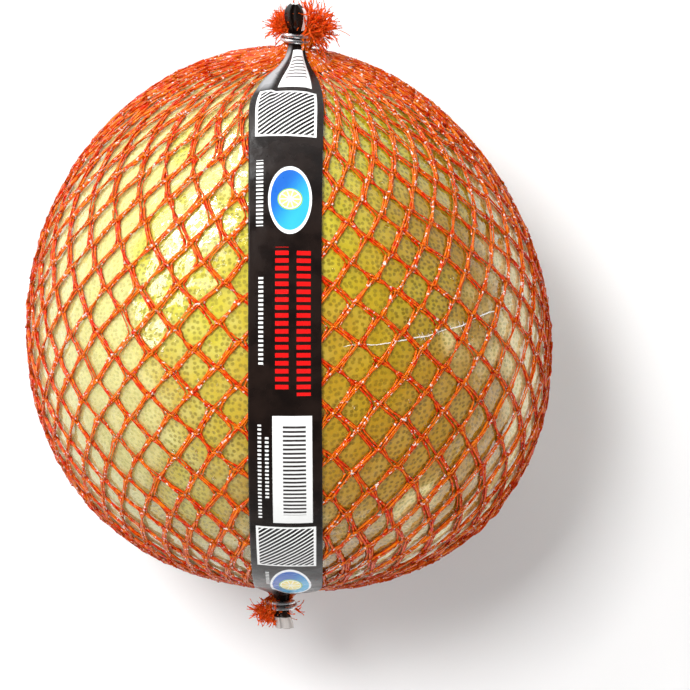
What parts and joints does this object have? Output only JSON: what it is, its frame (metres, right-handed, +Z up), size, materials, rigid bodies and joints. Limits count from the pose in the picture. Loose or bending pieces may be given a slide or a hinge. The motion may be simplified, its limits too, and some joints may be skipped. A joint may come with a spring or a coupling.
{
  "type": "pomelo",
  "caption": "Round citrus fruit on its side, wrapped in clear film and held in a knitted net sleeve that is clipped at both ends, with a film label band along the front.",
  "frame": {"origin": "on the surface that the fruit lies on, under the middle of its widest section", "axes": "+Y to the upper knot of the net, where the stem scar is; +Z up, through the front with the label band; +X to the right as seen from above"},
  "size_m": [0.1559, 0.1867, 0.155],
  "materials": {
    "rind": "waxy yellow-green citrus rind with darker oil glands",
    "clear_film": "clear glossy shrink film",
    "net_plastic": "bright orange-red knitted plastic strands",
    "band_film": "glossy near-black printed film",
    "clip_wire": "bright drawn wire"
  },
  "bodies": {
    "root": {"fruit": "rind", "film_bag": "clear_film", "net_sleeve": "net_plastic", "label_band": "band_film", "clip_upper": "clip_wire", "clip_lower": "clip_wire"}
  },
  "joints": []
}
